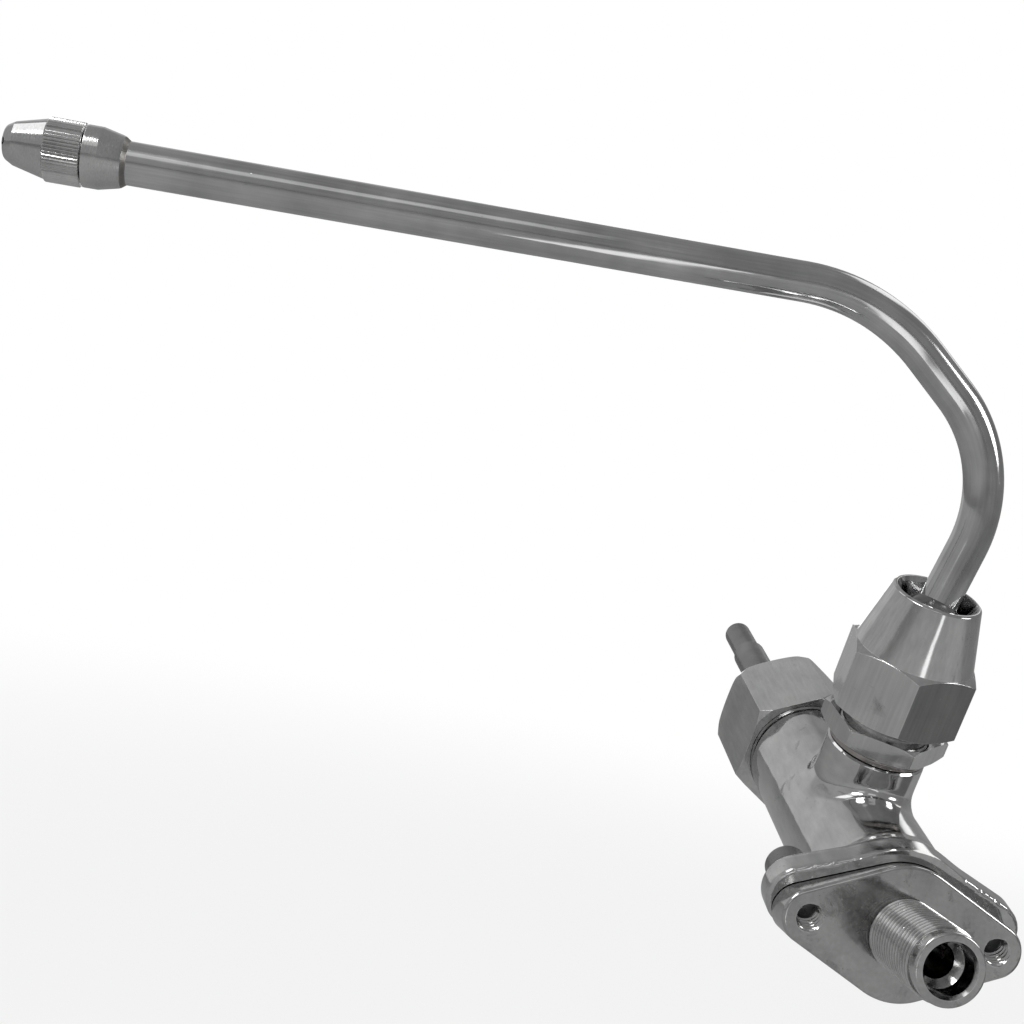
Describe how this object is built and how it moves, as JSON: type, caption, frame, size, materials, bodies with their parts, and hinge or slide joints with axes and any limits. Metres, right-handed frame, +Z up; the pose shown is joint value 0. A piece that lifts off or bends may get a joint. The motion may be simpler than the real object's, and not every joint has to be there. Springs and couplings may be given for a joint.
{
  "type": "steam tap with ball-jointed steam wand",
  "caption": "Chromed steam tap with a bolted threaded inlet flange, hex bonnet and turning spindle, and a bent steam wand held in a ball joint, ending in a knurled multi-jet nozzle.",
  "frame": {"origin": "centre of the connector flange's outer face, on the inlet nipple's axis", "axes": "+Y out along the inlet nipple, into the machine; +Z up; the wand's long run points to +X; the spindle points to -Y and rises 17.5 degrees"},
  "size_m": [0.2594, 0.1894, 0.1605],
  "materials": {
    "chrome": "polished chrome plate on brass",
    "stainless": "polished stainless steel with fine drawing lines",
    "steel": "satin turned steel",
    "brass": "turned brass",
    "copper": "soft copper sealing ring",
    "white_plastic": "white fluoropolymer",
    "seal_rubber": "black heat-proof rubber"
  },
  "bodies": {
    "valve": {"connector_flange": "chrome", "flange_gasket": "seal_rubber", "valve_body": "chrome", "flange_screw_1": "steel", "flange_screw_2": "steel", "lock_washer_1": "steel", "lock_washer_2": "steel", "valve_seat": "brass", "bonnet_sleeve": "brass", "bonnet_gasket": "copper", "packing_washer": "steel", "packing_ring_1": "white_plastic", "packing_ring_2": "white_plastic", "packing_ring_3": "white_plastic", "gland_bush": "brass", "gland_spring": "steel", "bonnet_nut": "chrome", "union_washer": "copper", "outlet_union": "chrome", "cone_nut": "chrome", "seat_spring": "steel", "lower_ball_seat": "white_plastic"},
    "seal": {"seal_carrier": "brass", "seal_disc": "seal_rubber", "seal_screw": "steel", "carrier_clip": "steel"},
    "spindle": {"spindle": "steel"},
    "seat_ring": {"upper_ball_seat": "white_plastic"},
    "ball": {"wand_ball": "chrome"},
    "wand": {"wand_tube": "stainless", "nozzle_ferrule": "chrome"},
    "tip_seal": {"tip_gasket": "white_plastic"},
    "tip": {"nozzle_tip": "chrome"}
  },
  "joints": [
    {"name": "seal_lift", "type": "slide", "parent": "valve", "child": "seal", "axis": [0, -0.9537, 0.3007], "range_m": [0, 0.00375]},
    {"name": "spindle_turn", "type": "hinge", "parent": "seal", "child": "spindle", "pos_m": [0, -0.10491, 0.03308], "axis": [0, -0.9537, 0.3007], "range_deg": [0, 541]},
    {"name": "wand_swivel", "type": "hinge", "parent": "valve", "child": "seat_ring", "pos_m": [0, -0.02263, 0.06772], "axis": [0, 0.3827, 0.9239], "continuous": true},
    {"name": "wand_tilt", "type": "hinge", "parent": "seat_ring", "child": "ball", "pos_m": [0, -0.02263, 0.06772], "axis": [0.7721, -0.5871, 0.2432], "range_deg": [-49.5, 1.5]},
    {"name": "wand_roll", "type": "hinge", "parent": "ball", "child": "wand", "pos_m": [0, -0.02263, 0.06772], "axis": [-0.2588, 0.059, 0.9641], "continuous": true},
    {"name": "tip_slide", "type": "slide", "parent": "wand", "child": "tip_seal", "axis": [0.9977, -0.0042, -0.0679], "range_m": [0, 0.006]},
    {"name": "tip_turn", "type": "hinge", "parent": "tip_seal", "child": "tip", "pos_m": [0.20341, -0.01883, 0.12979], "axis": [0.9977, -0.0042, -0.0679], "range_deg": [0, 2165]}
  ],
  "couplings": [
    {"joint": "spindle_turn", "follows": "seal_lift", "rad_per_m": 2513.3},
    {"joint": "tip_turn", "follows": "tip_slide", "rad_per_m": 6283.2}
  ]
}
